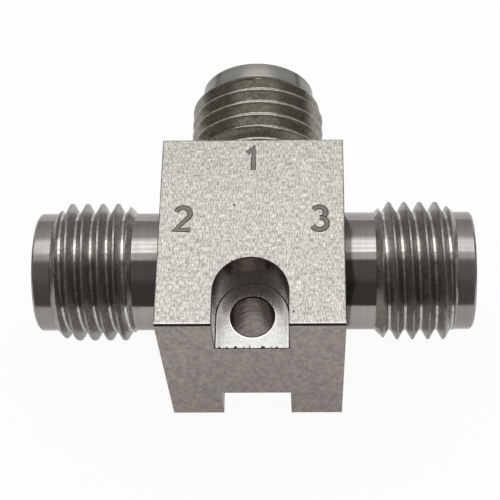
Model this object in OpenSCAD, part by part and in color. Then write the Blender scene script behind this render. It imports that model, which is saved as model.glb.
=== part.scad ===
// Resistive power divider: a milled steel block with three threaded female jacks,
// a screw recess at its front and a groove across its underside.
// Millimetres. +Z is up, +Y runs from the front face to the rear jack.
// The origin lies on the plane of the feet, under the middle of the overall box.

/* [Block] */
// Width of the block, between its left and right faces
block_w = 8; // [7.4:0.1:12]
// Distance from the junction of the jack axes to the front face
front_depth = 5; // [4.8:0.1:8]
// Distance from the junction of the jack axes to the rear face
rear_depth = 4; // [3.7:0.1:6]
// Height of the block
block_h = 10; // [9.6:0.1:14]
// Height of the jack axes above the feet
axis_h = 5; // [4.9:0.05:5.6]
// Width of the small chamfer along the block's outer edges
edge_break = 0.02; // [0.01:0.01:0.2]

/* [Screw recess, hole and groove] */
// Width of the recess that takes the head of the fixing screw
recess_w = 3.2; // [2.8:0.1:4]
// Depth of the recess below the top face
recess_depth = 2.5; // [1:0.1:3]
// Chamfer that the cutter leaves round the recess floor
recess_corner = 0.03; // [0.02:0.01:0.3]
// Small chamfer round the recess where it opens in the top face
recess_break = 0.04; // [0.01:0.01:0.1]
// Diameter of the screw hole
hole_d = 1.9; // [1.6:0.05:2.3]
// Distance from the front face to the axis of the screw hole
hole_inset = 1.5; // [1.3:0.05:1.8]
// Width of the groove across the underside
groove_w = 3.2; // [3.1:0.1:5]
// Depth of the groove across the underside
groove_depth = 2.5; // [1.5:0.05:2.6]

/* [Jack shells] */
// Length of a jack from the block's face to its tip
jack_l = 5.9; // [5.6:0.1:9]
// Depth of a jack's spigot in the block
seat_depth = 1.4; // [1:0.05:1.7]
// Diameter of the spigot
spigot_d = 4.4; // [4.2:0.05:4.6]
// Diameter of the plain neck
neck_d = 5.4; // [5:0.05:5.4]
// Length of the plain neck
neck_l = 1.45; // [0.8:0.05:1.8]
// Outside diameter of the thread
thread_d = 6.33; // [6.3:0.01:6.8]
// Pitch of the thread
thread_pitch = 0.7056; // [0.5:0.0001:0.8]
// Length of the threaded part, with the slope at each end
thread_l = 3.63; // [2.4:0.01:4.1]
// Diameter of the plain nose past the thread
nose_d = 5.4; // [5.2:0.05:5.4]
// Chamfer at the outer edge of the nose
nose_break = 0.1; // [0.03:0.01:0.2]
// Diameter of the mouth that takes the mating jack
mouth_d = 4.6; // [4.4:0.01:4.7]
// Depth of the mouth, from the tip to the reference plane
mouth_depth = 1.93; // [1.5:0.01:2.2]
// Chamfer at the edge of the mouth
mouth_break = 0.08; // [0.03:0.01:0.15]
// Inside diameter of the outer conductor
line_d = 2.92; // [2.6:0.01:3.1]

/* [Contacts, beads and bushes] */
// Outside diameter of a contact
contact_d = 1.27; // [1.15:0.01:1.4]
// How far the contact's tip lies behind the reference plane
tip_setback = 0.05; // [0.01:0.01:0.2]
// Diameter of the hole that takes the mating pin
socket_d = 0.93; // [0.7:0.01:1]
// Depth of that hole
socket_depth = 2; // [1.5:0.05:2.05]
// Width of the slots between the spring fingers
slot_w = 0.12; // [0.06:0.01:0.2]
// Length of the spring fingers
finger_l = 1.8; // [1:0.05:1.9]
// Number of spring fingers
fingers = 4; // [4:2:6]
// Diameter of the small hole at the contact's inner end
tail_d = 0.34; // [0.32:0.01:0.5]
// Depth of the small hole
tail_depth = 0.95; // [0.6:0.05:1.2]
// Diameter of the waist that the bead grips
waist_d = 0.9; // [0.6:0.01:1]
// Diameter of the bead
bead_d = 3.6; // [3.4:0.05:3.7]
// Thickness of the bead
bead_t = 0.9; // [0.5:0.05:1.2]
// Distance from the reference plane back to the bead
bead_setback = 2.65; // [2.6:0.05:2.8]
// Width of the slot through which the bead snaps over the waist
bead_slot_w = 0.78; // [0.5:0.01:0.85]
// Diameter of the bead's relief holes
relief_d = 0.5; // [0.3:0.05:0.6]
// Radius of the circle on which the relief holes lie
relief_r = 1.15; // [1.1:0.01:1.25]

/* [Glass seals] */
// Outside diameter of a seal's metal ring
seal_d = 1.93; // [1.8:0.01:2.1]
// Diameter of the glass
glass_d = 1.6; // [1.3:0.01:1.7]
// How far the glass lies below each end of its ring
glass_recess = 0.05; // [0.02:0.01:0.15]
// Diameter of the pin in the glass
pin_d = 0.3; // [0.2:0.01:0.31]
// How far the pin stands out of the seal towards its contact
pin_out = 0.95; // [0.5:0.05:1]
// Distance from the junction to the inner end of each pin
pin_stop = 0.75; // [0.65:0.01:1]

/* [Chip, cavity and cover] */
// Width of the square cavity round the chip
cavity_w = 2.6; // [2.5:0.05:2.7]
// Width of the square chip
chip_w = 2.4; // [2.35:0.01:2.48]
// Thickness of the chip
chip_t = 0.254; // [0.15:0.001:0.5]
// Thickness of the films on the chip
film_t = 0.02; // [0.01:0.01:0.05]
// Width of the conductors
trace_w = 0.26; // [0.15:0.01:0.4]
// Width of the conductor hub where the three arms meet
hub_w = 0.5; // [0.3:0.01:0.6]
// Length of each film resistor
film_l = 0.35; // [0.2:0.01:0.4]
// Width of each film resistor
film_w = 0.3; // [0.1:0.01:0.4]
// Bare margin between a conductor's end and the chip's edge
chip_margin = 0.05; // [0.02:0.01:0.15]
// Width of the square cover over the cavity
cover_w = 3; // [2.9:0.01:3.04]
// Thickness of the cover
cover_t = 0.6; // [0.3:0.05:0.9]
// Chamfer round the cover's outer face
cover_break = 0.05; // [0.02:0.01:0.1]

/* [Clearances] */
// Radial gap of the pressed and brazed fits
fit_gap = 0.01; // [0.005:0.005:0.02]
// Gap on each side of the cover in its pocket
cover_gap = 0.02; // [0.01:0.01:0.03]
// Gap between a contact's inner end and its seal
seal_gap = 0.15; // [0.1:0.01:0.3]
// Bond line between a pin and its conductor
bond_gap = 0.01; // [0.005:0.005:0.03]

/* [Hidden] */
$fn = 96;

// Reach of a cutting shape past the face that it opens
over = 1;

// Row places
side_face = block_w / 2;
block_d = front_depth + rear_depth;
junction_y = (front_depth - rear_depth - jack_l) / 2;
front_y = junction_y - front_depth;
hole_y = front_y + hole_inset;

// Jack heights, counted outwards from the block's face
thread_end = neck_l + thread_l;
plane_z = jack_l - mouth_depth;
bead_front = plane_z - bead_setback;
bead_back = bead_front - bead_t;
contact_tip = plane_z - tip_setback;
contact_tail = seal_gap - seat_depth;
pin_top = pin_out - seat_depth;

// Thread form, with 60 degree flanks
thread_h = 0.6134 * thread_pitch;
crest_flat = thread_pitch / 8;
flank_run = thread_h * tan(30);
root_flat = thread_pitch - crest_flat - 2 * flank_run;
turns = floor(thread_l / thread_pitch);
first_root = neck_l + (thread_l - (turns - 1) * thread_pitch) / 2;

// Heights of the layers in the cavity
trace_z = axis_h + pin_d / 2 + bond_gap;
chip_z = trace_z + film_t;
roof_z = chip_z + chip_t;
ledge_z = groove_depth + cover_t;

// Small lead-in at the ends of spigots, bushes and contacts
lead_in = 0.05;

// Places for the jacks: local +Z runs outwards, and z = 0 is the junction
module to_left() translate([0, junction_y, axis_h]) rotate([0, -90, 0]) children();
module to_right() translate([0, junction_y, axis_h]) rotate([0, 90, 0]) children();
module to_rear() translate([0, junction_y, axis_h]) rotate([-90, 0, 0]) children();

// The same with z = 0 on the block's face
module at_left() to_left() translate([0, 0, side_face]) children();
module at_right() to_right() translate([0, 0, side_face]) children();
module at_rear() to_rear() translate([0, 0, rear_depth]) children();

// Length of the wall between a jack's seat and the cavity
function wall_l(face) = face - seat_depth - cavity_w / 2;

// A rectangle w by l about the origin with cut corners
module cut_rectangle(w, l, c) {
    polygon([
        [-w / 2 + c, -l / 2], [w / 2 - c, -l / 2], [w / 2, -l / 2 + c], [w / 2, l / 2 - c],
        [w / 2 - c, l / 2], [-w / 2 + c, l / 2], [-w / 2, l / 2 - c], [-w / 2, -l / 2 + c]
    ]);
}

// The solid block with all twelve edges broken, about its own centre
module broken_block() {
    intersection() {
        linear_extrude(block_h + 2 * over, center = true)
            cut_rectangle(block_w, block_d, edge_break);
        rotate([90, 0, 0])
            linear_extrude(block_d + 2 * over, center = true)
                cut_rectangle(block_w, block_h, edge_break);
        rotate([90, 0, 90])
            linear_extrude(block_w + 2 * over, center = true)
                cut_rectangle(block_d, block_h, edge_break);
    }
}

// Section of the recess from its axis outwards, with the corner that the cutter leaves
// at its floor and the chamfer at its rim, which runs on past the top face
function half_recess() = [
    [0, 0], [recess_w / 2 - recess_corner, 0], [recess_w / 2, recess_corner],
    [recess_w / 2, recess_depth - recess_break],
    [recess_w / 2 + recess_break + over, recess_depth + over], [0, recess_depth + over]
];

// The recess: a round end about the hole's axis, and a straight run out of the front face
module recess_cut() {
    translate([0, hole_y, block_h - recess_depth]) {
        rotate_extrude() polygon(half_recess());
        rotate([90, 0, 0])
            linear_extrude(hole_inset + over)
                union() {
                    polygon(half_recess());
                    mirror([1, 0, 0]) polygon(half_recess());
                }
    }
}

// Bore for a jack's spigot, and the smaller bore for its seal behind it
module jack_bore(face) {
    translate([0, 0, face - seat_depth])
        cylinder(d = spigot_d + 2 * fit_gap, h = seat_depth + over);
    translate([0, 0, cavity_w / 4])
        cylinder(d = seal_d + 2 * fit_gap, h = face - seat_depth - cavity_w / 4 + over / 2);
}

module body_block() {
    color([0.66, 0.65, 0.62])
        difference() {
            translate([0, front_y + block_d / 2, block_h / 2]) broken_block();
            to_left() jack_bore(side_face);
            to_right() jack_bore(side_face);
            to_rear() jack_bore(rear_depth);
            translate([-groove_w / 2, front_y - over, -over])
                cube([groove_w, block_d + 2 * over, groove_depth + over]);
            translate([0, junction_y, 0]) {
                pocket_w = cover_w + 2 * cover_gap;
                translate([-pocket_w / 2, -pocket_w / 2, 0])
                    cube([pocket_w, pocket_w, ledge_z]);
                translate([-cavity_w / 2, -cavity_w / 2, 0])
                    cube([cavity_w, cavity_w, roof_z]);
            }
            recess_cut();
            translate([0, hole_y, 0]) cylinder(d = hole_d, h = block_h);
        }
}

// Outline of a shell's half section: radius across, distance from the block's face up
module shell_blank() {
    polygon([
        [bead_d / 2 + fit_gap, -seat_depth],
        [spigot_d / 2 - lead_in, -seat_depth],
        [spigot_d / 2, -seat_depth + lead_in],
        [spigot_d / 2, 0],
        [neck_d / 2, 0],
        [neck_d / 2, neck_l],
        [thread_d / 2, neck_l + (thread_d - neck_d) / 2],
        [thread_d / 2, thread_end - (thread_d - nose_d) / 2],
        [nose_d / 2, thread_end],
        [nose_d / 2, jack_l - nose_break],
        [nose_d / 2 - nose_break, jack_l],
        [mouth_d / 2 + mouth_break, jack_l],
        [mouth_d / 2, jack_l - mouth_break],
        [mouth_d / 2, plane_z],
        [line_d / 2, plane_z],
        [line_d / 2, bead_front],
        [bead_d / 2 + fit_gap, bead_front]
    ]);
}

// Section of one thread groove, centred on its root and open past the crests
module thread_groove() {
    root_r = thread_d / 2 - thread_h;
    open_r = thread_d / 2 + thread_h;
    open_half = root_flat / 2 + 2 * flank_run;
    polygon([
        [root_r, -root_flat / 2], [root_r, root_flat / 2],
        [open_r, open_half], [open_r, -open_half]
    ]);
}

// A jack's shell, turned in one piece
module jack_shell() {
    rotate_extrude()
        difference() {
            shell_blank();
            for (i = [0 : turns - 1])
                translate([0, first_root + i * thread_pitch]) thread_groove();
        }
}

// Bush that holds the bead against its shoulder and carries on the outer conductor
module jack_bush() {
    rotate_extrude()
        polygon([
            [line_d / 2, -seat_depth],
            [bead_d / 2 - lead_in, -seat_depth],
            [bead_d / 2, -seat_depth + lead_in],
            [bead_d / 2, bead_back - lead_in],
            [bead_d / 2 - lead_in, bead_back],
            [line_d / 2, bead_back]
        ]);
}

// Bead with a slot to snap over the contact, and relief holes round the rest
module support_bead() {
    translate([0, 0, bead_back])
        difference() {
            cylinder(d = bead_d, h = bead_t);
            translate([0, 0, -over]) {
                cylinder(d = waist_d, h = bead_t + 2 * over);
                translate([0, -bead_slot_w / 2, 0])
                    cube([bead_d, bead_slot_w, bead_t + 2 * over]);
                for (a = [60 : 60 : 300])
                    rotate(a) translate([relief_r, 0, 0])
                        cylinder(d = relief_d, h = bead_t + 2 * over);
            }
        }
}

// Contact with spring fingers at its tip, a waist in the bead and a small socket behind
module center_contact() {
    waist_r = waist_d / 2 - fit_gap;
    difference() {
        rotate_extrude()
            polygon([
                [0, contact_tail],
                [contact_d / 2 - lead_in, contact_tail],
                [contact_d / 2, contact_tail + lead_in],
                [contact_d / 2, bead_back],
                [waist_r, bead_back],
                [waist_r, bead_front],
                [contact_d / 2, bead_front],
                [contact_d / 2, contact_tip - lead_in],
                [contact_d / 2 - lead_in, contact_tip],
                [socket_d / 2 + lead_in, contact_tip],
                [socket_d / 2, contact_tip - lead_in],
                [socket_d / 2, contact_tip - socket_depth],
                [0, contact_tip - socket_depth]
            ]);
        translate([0, 0, contact_tail - over])
            cylinder(d = tail_d, h = tail_depth + over);
        for (i = [0 : fingers / 2 - 1])
            rotate(45 + i * 360 / fingers)
                translate([-contact_d, -slot_w / 2, contact_tip - finger_l])
                    cube([2 * contact_d, slot_w, finger_l + over]);
    }
}

// Metal ring of a glass seal, filling the wall behind a jack's seat
module seal_ring(face) {
    translate([0, 0, cavity_w / 2])
        difference() {
            cylinder(d = seal_d, h = wall_l(face));
            translate([0, 0, -over]) cylinder(d = glass_d, h = wall_l(face) + 2 * over);
        }
}

// Glass of a seal, fused between its ring and its pin
module seal_glass(face) {
    translate([0, 0, cavity_w / 2 + glass_recess])
        difference() {
            cylinder(d = glass_d, h = wall_l(face) - 2 * glass_recess);
            translate([0, 0, -over]) cylinder(d = pin_d, h = wall_l(face) + 2 * over);
        }
}

// Pin of a seal, from over its conductor to inside its contact
module seal_pin(face) {
    translate([0, 0, pin_stop]) cylinder(d = pin_d, h = face + pin_top - pin_stop);
}

module left_jack_shell() color([0.55, 0.54, 0.52]) at_left() jack_shell();
module right_jack_shell() color([0.55, 0.54, 0.52]) at_right() jack_shell();
module rear_jack_shell() color([0.55, 0.54, 0.52]) at_rear() jack_shell();

module left_bush() color([0.62, 0.61, 0.59]) at_left() jack_bush();
module right_bush() color([0.62, 0.61, 0.59]) at_right() jack_bush();
module rear_bush() color([0.62, 0.61, 0.59]) at_rear() jack_bush();

module left_support_bead() color([0.86, 0.66, 0.32]) at_left() support_bead();
module right_support_bead() color([0.86, 0.66, 0.32]) at_right() support_bead();
module rear_support_bead() color([0.86, 0.66, 0.32]) at_rear() support_bead();

module left_center_contact() color([0.9, 0.72, 0.32]) at_left() center_contact();
module right_center_contact() color([0.9, 0.72, 0.32]) at_right() center_contact();
module rear_center_contact() color([0.9, 0.72, 0.32]) at_rear() center_contact();

module left_seal_ring() color([0.85, 0.7, 0.4]) to_left() seal_ring(side_face);
module right_seal_ring() color([0.85, 0.7, 0.4]) to_right() seal_ring(side_face);
module rear_seal_ring() color([0.85, 0.7, 0.4]) to_rear() seal_ring(rear_depth);

module left_seal_glass() color([0.35, 0.45, 0.55]) to_left() seal_glass(side_face);
module right_seal_glass() color([0.35, 0.45, 0.55]) to_right() seal_glass(side_face);
module rear_seal_glass() color([0.35, 0.45, 0.55]) to_rear() seal_glass(rear_depth);

module left_seal_pin() color([0.9, 0.72, 0.32]) to_left() seal_pin(side_face);
module right_seal_pin() color([0.9, 0.72, 0.32]) to_right() seal_pin(side_face);
module rear_seal_pin() color([0.9, 0.72, 0.32]) to_rear() seal_pin(rear_depth);

// The chip's layers lie face down under the cavity's roof, about the junction
module on_chip(z) translate([0, junction_y, z]) children();

// Turns an arm drawn along +X to the left, the right and the rear
module three_arms() {
    for (a = [0, 90, 180]) rotate(a) children();
}

module resistor_substrate() {
    color([0.93, 0.92, 0.88])
        on_chip(chip_z)
            translate([-chip_w / 2, -chip_w / 2, 0]) cube([chip_w, chip_w, chip_t]);
}

module resistor_films() {
    color([0.25, 0.25, 0.27])
        on_chip(trace_z)
            three_arms()
                translate([hub_w / 2, -film_w / 2, 0]) cube([film_l, film_w, film_t]);
}

module conductor_traces() {
    arm_start = hub_w / 2 + film_l;
    arm_end = chip_w / 2 - chip_margin;
    color([0.9, 0.72, 0.32])
        on_chip(trace_z) {
            translate([-hub_w / 2, -hub_w / 2, 0]) cube([hub_w, hub_w, film_t]);
            three_arms()
                translate([arm_start, -trace_w / 2, 0])
                    cube([arm_end - arm_start, trace_w, film_t]);
        }
}

// Section of the cover with its outer edges broken
module cover_section() {
    inner_w = cover_w - 2 * cover_break;
    polygon([
        [-inner_w / 2, 0], [inner_w / 2, 0], [cover_w / 2, cover_break],
        [cover_w / 2, cover_t], [-cover_w / 2, cover_t], [-cover_w / 2, cover_break]
    ]);
}

module cover_plate() {
    color([0.6, 0.59, 0.57])
        translate([0, junction_y, groove_depth])
            intersection() {
                rotate([90, 0, 0]) linear_extrude(cover_w, center = true) cover_section();
                rotate([90, 0, 90]) linear_extrude(cover_w, center = true) cover_section();
            }
}

body_block();
left_jack_shell();
right_jack_shell();
rear_jack_shell();
left_bush();
right_bush();
rear_bush();
left_support_bead();
right_support_bead();
rear_support_bead();
left_center_contact();
right_center_contact();
rear_center_contact();
left_seal_ring();
right_seal_ring();
rear_seal_ring();
left_seal_glass();
right_seal_glass();
rear_seal_glass();
left_seal_pin();
right_seal_pin();
rear_seal_pin();
resistor_substrate();
resistor_films();
conductor_traces();
cover_plate();
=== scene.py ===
"""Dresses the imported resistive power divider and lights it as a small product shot.

Every mesh is in metres in the part's own frame: +Z is up, +Y runs from the front face to the rear
jack, and the jack axes meet at the junction. The part's sizes and patterns are in millimetres and
the studio's in metres.
"""

from __future__ import annotations

import logging
import math
from collections.abc import Callable
from dataclasses import dataclass
from enum import Enum
from functools import cache, reduce
from typing import Union

import bmesh
import bpy
import numpy as np
from mathutils import Matrix, Vector

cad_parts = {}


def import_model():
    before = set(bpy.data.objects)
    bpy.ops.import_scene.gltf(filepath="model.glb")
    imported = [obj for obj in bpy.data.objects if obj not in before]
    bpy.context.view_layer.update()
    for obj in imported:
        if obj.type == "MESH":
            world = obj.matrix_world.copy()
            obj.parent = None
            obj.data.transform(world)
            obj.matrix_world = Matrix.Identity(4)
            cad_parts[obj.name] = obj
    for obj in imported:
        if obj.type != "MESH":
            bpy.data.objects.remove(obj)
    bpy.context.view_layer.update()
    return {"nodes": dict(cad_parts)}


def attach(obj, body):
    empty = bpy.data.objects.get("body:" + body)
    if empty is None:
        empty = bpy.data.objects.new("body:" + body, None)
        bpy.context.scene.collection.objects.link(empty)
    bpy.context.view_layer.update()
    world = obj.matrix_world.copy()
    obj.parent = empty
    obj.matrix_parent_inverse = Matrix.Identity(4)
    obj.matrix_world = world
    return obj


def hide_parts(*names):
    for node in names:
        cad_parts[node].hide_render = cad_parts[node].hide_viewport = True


LOG = logging.getLogger("power_divider")

Triple = tuple[float, float, float]
Color = Triple
ColorPair = tuple[Color, Color]
Stroke = tuple[tuple[float, float], ...]
Feed = Union["Value", float, tuple, None]

# MM and DOUBLE, the distance within which two points are one, are in metres.
MM = 0.001
DOUBLE = 2e-8
TINY = 1e-6
SHARP_DEG = 32.0
ORIGIN: Triple = (0.0, 0.0, 0.0)
JUNCTION: Triple = (0.0, -2.45, 5.0)
TOP_Z = 10.0


# Surfaces


def fillet(points: np.ndarray, radii: np.ndarray, steps: int) -> np.ndarray:
    """Rounds every corner of a closed outline.

    Formula: both sides of a corner are cut back by radius / tan(half the inner angle), and the cut
    ends are joined by an arc about the point on the bisector that lies radius / sin(half) away.

    Args:
        points: Corners in order, as rows of two coordinates.
        radii: Radius at each corner. Zero keeps the corner sharp.
        steps: Steps in each arc.

    Returns:
        The rounded outline, steps + 1 points for each corner.
    """
    before = np.roll(points, 1, axis=0) - points
    after = np.roll(points, -1, axis=0) - points
    before /= np.linalg.norm(before, axis=1, keepdims=True)
    after /= np.linalg.norm(after, axis=1, keepdims=True)
    inner = np.arccos(np.clip((before * after).sum(axis=1), -1.0, 1.0))
    bisector = before + after
    bisector /= np.maximum(np.linalg.norm(bisector, axis=1, keepdims=True), TINY)
    cut = (radii / np.tan(inner / 2))[:, None]
    centre = points + bisector * (radii / np.sin(inner / 2))[:, None]
    first, last = points + before * cut - centre, points + after * cut - centre
    turn = np.maximum(math.pi - inner, TINY)[:, None, None]
    share = np.linspace(0.0, 1.0, steps + 1)[None, :, None]
    arc = np.sin((1 - share) * turn) * first[:, None] + np.sin(share * turn) * last[:, None]
    return (centre[:, None] + arc / np.sin(turn)).reshape(-1, 2)


def grid_faces(rows: int, columns: int, closed_rows: bool, offset: int = 0) -> np.ndarray:
    """Quads between neighbouring rows and columns of a grid of points.

    Args:
        rows: Number of rows.
        columns: Number of columns.
        closed_rows: True if the last row joins the first.
        offset: Index of the grid's first point.

    Returns:
        Four point indices for each quad.
    """
    i = np.arange(rows if closed_rows else rows - 1)[:, None]
    j = np.arange(columns - 1)[None, :]
    here, there = i * columns, ((i + 1) % rows) * columns
    return offset + np.stack([here + j, here + j + 1, there + j + 1, there + j], axis=-1).reshape(-1, 4)


def placed(name: str, data: bpy.types.ID) -> bpy.types.Object:
    """Makes an object, at the origin and linked to the scene.

    Args:
        name: Name of the object.
        data: Its mesh, lamp or camera.

    Returns:
        The object.
    """
    made = bpy.data.objects.new(name, data)
    bpy.context.scene.collection.objects.link(made)
    return made


def closed_surface(name: str, points: np.ndarray, faces: np.ndarray) -> bpy.types.Object:
    """Makes a closed surface, with doubles merged, faces outwards and smooth but for sharp edges.

    Args:
        name: Name of the piece.
        points: Rows of three coordinates in metres.
        faces: Rows of four point indices.

    Returns:
        The object.
    """
    data = bpy.data.meshes.new(name)
    data.from_pydata(points, [], faces.tolist())
    mesh = bmesh.new()
    mesh.from_mesh(data)
    bmesh.ops.remove_doubles(mesh, verts=mesh.verts, dist=DOUBLE)
    bmesh.ops.recalc_face_normals(mesh, faces=mesh.faces)
    mesh.to_mesh(data)
    mesh.free()
    data.shade_smooth()
    data.set_sharp_from_angle(angle=math.radians(SHARP_DEG))
    return placed(name, data)


def level_mesh(name: str, points: np.ndarray, faces: np.ndarray) -> bpy.types.Mesh:
    """Makes a flat level mesh that faces up.

    Args:
        name: Name of the mesh.
        points: Rows of three coordinates in metres.
        faces: Rows of four point indices.

    Returns:
        The mesh.
    """
    data = bpy.data.meshes.new(name)
    data.from_pydata(points, [], faces.tolist())
    if data.polygons[len(data.polygons) // 2].normal.z < 0:
        data.flip_normals()
    return data


# Shader writing


def operator(operation: str) -> Callable[[Value, Feed], Value]:
    """Makes an operator of Value, which writes one node."""
    return lambda value, other: value.calc(operation, value, other)


@dataclass(frozen=True, eq=False)
class Value:
    """A number, vector or colour in a tree. Sums and products of it write nodes.

    Attributes:
        w: Writer of the tree.
        socket: Output that holds it.
    """

    w: Wiring
    socket: bpy.types.NodeSocket

    def also(self, output: str) -> Value:
        """Another output of the same node."""
        return Value(self.w, self.socket.node.outputs[output])

    def calc(self, operation: str, a: Feed, b: Feed = None) -> Value:
        """A Math node, or a Vector Math node where this is a vector."""
        kind = "VectorMath" if self.socket.type == "VECTOR" else "Math"
        return self.w.node(kind, {0: a, 1: b}, operation=operation)

    __add__, __sub__, __mul__, __truediv__ = map(operator, ("ADD", "SUBTRACT", "MULTIPLY", "DIVIDE"))

    def __rsub__(self, other: Feed) -> Value:
        """What is left of a plain value."""
        return self.calc("SUBTRACT", other, self)

    def __abs__(self) -> Value:
        """Size without the sign."""
        return self.calc("ABSOLUTE", self)


class Wiring:
    """Writes nodes into one tree."""

    def __init__(self, tree: bpy.types.NodeTree) -> None:
        """Keeps the tree to write into."""
        self.tree = tree

    def feed(self, socket: bpy.types.NodeSocket, value: Feed) -> None:
        """Links an input or sets it.

        Args:
            socket: The input.
            value: What it takes. One number fills a vector or a colour, and None leaves it alone.
        """
        if isinstance(value, Value):
            self.tree.links.new(value.socket, socket)
        elif value is not None:
            if socket.type in ("VECTOR", "RGBA") and not isinstance(value, tuple):
                value = (value, value, value)
            socket.default_value = (*value, 1.0) if socket.type == "RGBA" else value

    def node(
        self, kind: str, feeds: dict | None = None, out: int | str = 0, **settings: object
    ) -> Value | None:
        """Adds a node.

        Args:
            kind: Type of the node, without its leading ShaderNode.
            feeds: What its inputs take, by name or number.
            out: Name or number of the output that is wanted.
            **settings: Properties of the node itself.

        Returns:
            The output, or None from a node that has none.
        """
        made = self.tree.nodes.new("ShaderNode" + kind)
        for key, value in settings.items():
            setattr(made, key, value)
        for key, value in (feeds or {}).items():
            self.feed(made.inputs[key], value)
        return Value(self, made.outputs[out]) if made.outputs else None

    def effect(self, effect: Effect, **feeds: Feed) -> dict[str, Value]:
        """Places a shared effect and returns its outputs by name."""
        first = self.node("Group", feeds, node_tree=effect.tree())
        return {s.name: first.also(s.name) for s in first.socket.node.outputs}

    def math(self, operation: str, a: Feed, b: Feed = None) -> Value:
        """A Math node."""
        return self.node("Math", {0: a, 1: b}, operation=operation)

    def most(self, *values: Feed) -> Value:
        """The largest of some numbers."""
        return reduce(lambda a, b: self.math("MAXIMUM", a, b), values)

    def least(self, *values: Feed) -> Value:
        """The smallest of some numbers."""
        return reduce(lambda a, b: self.math("MINIMUM", a, b), values)

    def split(self, vector: Feed) -> tuple[Value, Value, Value]:
        """The three components of a vector."""
        x = self.node("SeparateXYZ", {0: vector})
        return x, x.also("Y"), x.also("Z")

    def join(self, x: Feed, y: Feed = 0.0, z: Feed = 0.0) -> Value:
        """A vector of three components."""
        return self.node("CombineXYZ", {0: x, 1: y, 2: z})

    def band(self, value: Feed, low: float, high: float, to_low: float = 0.0, to_high: float = 1.0) -> Value:
        """A smooth step: a value from low to high becomes one from to_low to to_high."""
        feeds = {"Value": value, "From Min": low, "From Max": high, "To Min": to_low, "To Max": to_high}
        return self.node("MapRange", feeds, interpolation_type="SMOOTHSTEP")

    def noise(self, vector: Feed, scale: float = 1.0, detail: float = 2.0, rough: float = 0.5) -> Value:
        """Noise from 0 to 1 over a vector in millimetres."""
        return self.node("TexNoise", {"Vector": vector, "Scale": scale, "Detail": detail, "Roughness": rough})

    def blend(self, factor: Feed, a: Feed, b: Feed, mode: str = "MIX") -> Value:
        """Two colours mixed, by how much of the second."""
        settings = {"data_type": "RGBA", "blend_type": mode, "clamp_factor": True}
        return self.node("Mix", {0: factor, 6: a, 7: b}, out=2, **settings)

    def over(self, color: Feed, *layers: Feed) -> Value:
        """A colour multiplied by other colours or numbers."""
        return reduce(lambda a, b: self.blend(1.0, a, b, "MULTIPLY"), layers, color)

    def relief(self, *layers: tuple[Feed, float]) -> Value:
        """Lays relief over the surface.

        Args:
            *layers: Height from 0 to 1 and the depth that it stands for, in millimetres.

        Returns:
            The normal.
        """
        normal: Feed = None
        for height, depth in layers:
            feeds = {"Height": height, "Distance": depth * MM, "Strength": 1.0, "Normal": normal}
            normal = self.node("Bump", feeds)
        return normal


@dataclass(frozen=True, eq=False)
class Effect:
    """A surface effect that several finishes share, kept as one shader node group.

    Attributes:
        name: Name of the group.
        inputs: Default of each input by name, a vector or a number.
        write: Takes a writer and the inputs by name, writes the nodes, and returns the outputs by
            name, each a plain number.
    """

    name: str
    inputs: dict[str, tuple | float]
    write: Callable[[Wiring, dict[str, Value]], dict[str, Value]]

    def tree(self) -> bpy.types.NodeTree:
        """Makes the node group on its first use.

        Returns:
            The node group.
        """
        found = bpy.data.node_groups.get(self.name)
        if found:
            return found
        tree = bpy.data.node_groups.new(self.name, "ShaderNodeTree")
        for name, default in self.inputs.items():
            kind = "NodeSocketVector" if isinstance(default, tuple) else "NodeSocketFloat"
            tree.interface.new_socket(name, in_out="INPUT", socket_type=kind).default_value = default
        w, start = Wiring(tree), tree.nodes.new("NodeGroupInput")
        made = self.write(w, {name: Value(w, start.outputs[name]) for name in self.inputs})
        for name in made:
            tree.interface.new_socket(name, in_out="OUTPUT", socket_type="NodeSocketFloat")
        end = tree.nodes.new("NodeGroupOutput")
        for name, value in made.items():
            w.feed(end.inputs[name], value)
        return tree


def write_grain(w: Wiring, i: dict[str, Value]) -> dict[str, Value]:
    """Fine mottling of a blasted or ground face, and the broad unevenness under it.

    Args:
        w: Writer of the effect's tree.
        i: The effect's inputs, by name.

    Returns:
        The effect's outputs, by name.
    """
    at = i["Vector"] * i["Stretch"]
    fine, medium = w.noise(at, 8.0, 2.0, 0.6), w.noise(at, 3.0, 2.0, 0.55)
    broad = w.noise(i["Vector"], 0.55)
    return {"Height": medium * 0.3 + fine, "Fleck": w.band(fine, 0.36, 0.64), "Broad": broad}


def write_strokes(w: Wiring, i: dict[str, Value]) -> dict[str, Value]:
    """Long parallel tool or abrasive strokes along the direction that the stretch leaves uncrowded."""
    at = i["Vector"] * i["Stretch"]
    return {"Height": w.noise(at, 1.0, 4.0, 0.6), "Deep": w.band(w.noise(at, 0.45), 0.62, 0.72)}


def write_pits(w: Wiring, i: dict[str, Value]) -> dict[str, Value]:
    """Sparse small pits: a cell has one where its random number falls under the share.

    Args:
        w: Writer of the effect's tree.
        i: The effect's inputs, by name.

    Returns:
        The effect's outputs, by name.
    """
    cell = w.node("TexVoronoi", {"Vector": i["Vector"], "Scale": i["Scale"]}, out="Color", feature="F1")
    chosen = w.math("LESS_THAN", w.split(cell)[0], i["Share"])
    return {"Mask": chosen * w.band(cell.also("Distance"), 0.16, 0.07)}


def write_turning(w: Wiring, i: dict[str, Value]) -> dict[str, Value]:
    """Rings that a lathe tool leaves, crowded along the axis, and a slow unevenness round it.

    Args:
        w: Writer of the effect's tree.
        i: The effect's inputs, by name.

    Returns:
        The effect's outputs, by name.
    """
    along = i["Vector"] * i["Along"]
    at = along * 22.0 + (i["Vector"] - along) * 0.12
    return {
        "Height": w.noise(at, 1.0, 3.0, 0.7),
        "Band": w.band(w.noise(at * 0.16, 1.0, 1.0), 0.4, 0.6),
        "Stain": w.band(w.noise(i["Vector"], 1.1, 3.0), 0.5, 0.72),
    }


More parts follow.
